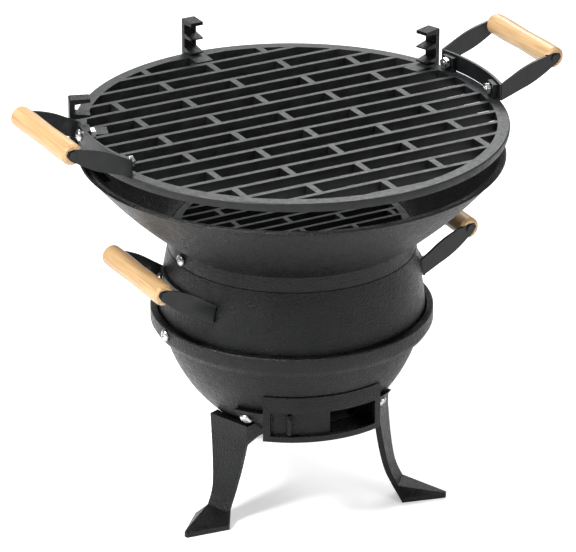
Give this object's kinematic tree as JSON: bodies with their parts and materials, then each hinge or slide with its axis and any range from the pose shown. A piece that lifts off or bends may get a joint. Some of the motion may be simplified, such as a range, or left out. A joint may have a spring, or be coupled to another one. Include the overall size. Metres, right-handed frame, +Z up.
{
  "type": "tabletop charcoal grill",
  "caption": "Round cast-iron charcoal grill on three short legs, with a flared dish, a notched-post cooking grate, a sliding air shutter and wooden grips.",
  "frame": {"origin": "on the ground under the middle of the overall box", "axes": "+Z up; the carrying handles lie along X; the cooking grate is drawn out towards -Y, and the air vent is near -Y"},
  "size_m": [0.4624, 0.3602, 0.3692],
  "materials": {
    "cast_iron": "matt, fine-grained sand-cast surface",
    "grate_iron": "as-cast, worn lighter on the top faces",
    "black_sheet": "satin black",
    "zinc_steel": "bright zinc plate",
    "wood": "clear varnish"
  },
  "bodies": {
    "fire_pot": {"body_bracket_left": "black_sheet", "body_bracket_right": "black_sheet", "body_grip_left": "wood", "body_grip_right": "wood", "body_left_bolt_1": "zinc_steel", "body_left_bolt_2": "zinc_steel", "body_left_nut_1": "zinc_steel", "body_left_nut_2": "zinc_steel", "body_right_bolt_1": "zinc_steel", "body_right_bolt_2": "zinc_steel", "body_right_nut_1": "zinc_steel", "body_right_nut_2": "zinc_steel", "body_rod_left": "black_sheet", "body_rod_right": "black_sheet", "collar_bolt_1": "zinc_steel", "collar_bolt_2": "zinc_steel", "leg_bolt_1": "zinc_steel", "leg_bolt_2": "zinc_steel", "leg_bolt_3": "zinc_steel", "leg_front_left": "cast_iron", "leg_front_right": "cast_iron", "leg_rear": "cast_iron", "lower_bowl": "cast_iron", "middle_ring": "cast_iron", "neck_bolt_1": "zinc_steel", "neck_bolt_2": "zinc_steel", "post_bolt_1": "zinc_steel", "post_bolt_2": "zinc_steel", "post_bolt_3": "zinc_steel", "post_left": "cast_iron", "post_nut_1": "zinc_steel", "post_nut_2": "zinc_steel", "post_nut_3": "zinc_steel", "post_rear": "cast_iron", "post_right": "cast_iron", "upper_dish": "cast_iron", "vent_bolt_1": "zinc_steel", "vent_bolt_2": "zinc_steel", "vent_housing": "cast_iron", "vent_nut_1": "zinc_steel", "vent_nut_2": "zinc_steel"},
    "grate": {"cooking_grate": "grate_iron", "grate_bracket_left": "black_sheet", "grate_bracket_right": "black_sheet", "grate_grip_left": "wood", "grate_grip_right": "wood", "grate_left_bolt_1": "zinc_steel", "grate_left_bolt_2": "zinc_steel", "grate_left_nut_1": "zinc_steel", "grate_left_nut_2": "zinc_steel", "grate_right_bolt_1": "zinc_steel", "grate_right_bolt_2": "zinc_steel", "grate_right_nut_1": "zinc_steel", "grate_right_nut_2": "zinc_steel", "grate_rod_left": "black_sheet", "grate_rod_right": "black_sheet"},
    "shutter": {"vent_shutter": "cast_iron"},
    "coals": {"charcoal_grate": "grate_iron"}
  },
  "joints": [
    {"name": "grate_slide_out", "type": "slide", "parent": "fire_pot", "child": "grate", "axis": [0, -1, 0], "range_m": [0, 0.045]},
    {"name": "shutter_turn", "type": "hinge", "parent": "fire_pot", "child": "shutter", "pos_m": [0, -0.00255, 0.1025], "axis": [0, 0, 1], "range_deg": [0, 23]},
    {"name": "charcoal_grate_lift", "type": "slide", "parent": "fire_pot", "child": "coals", "axis": [0, 0, 1], "range_m": [0, 0.05]}
  ]
}
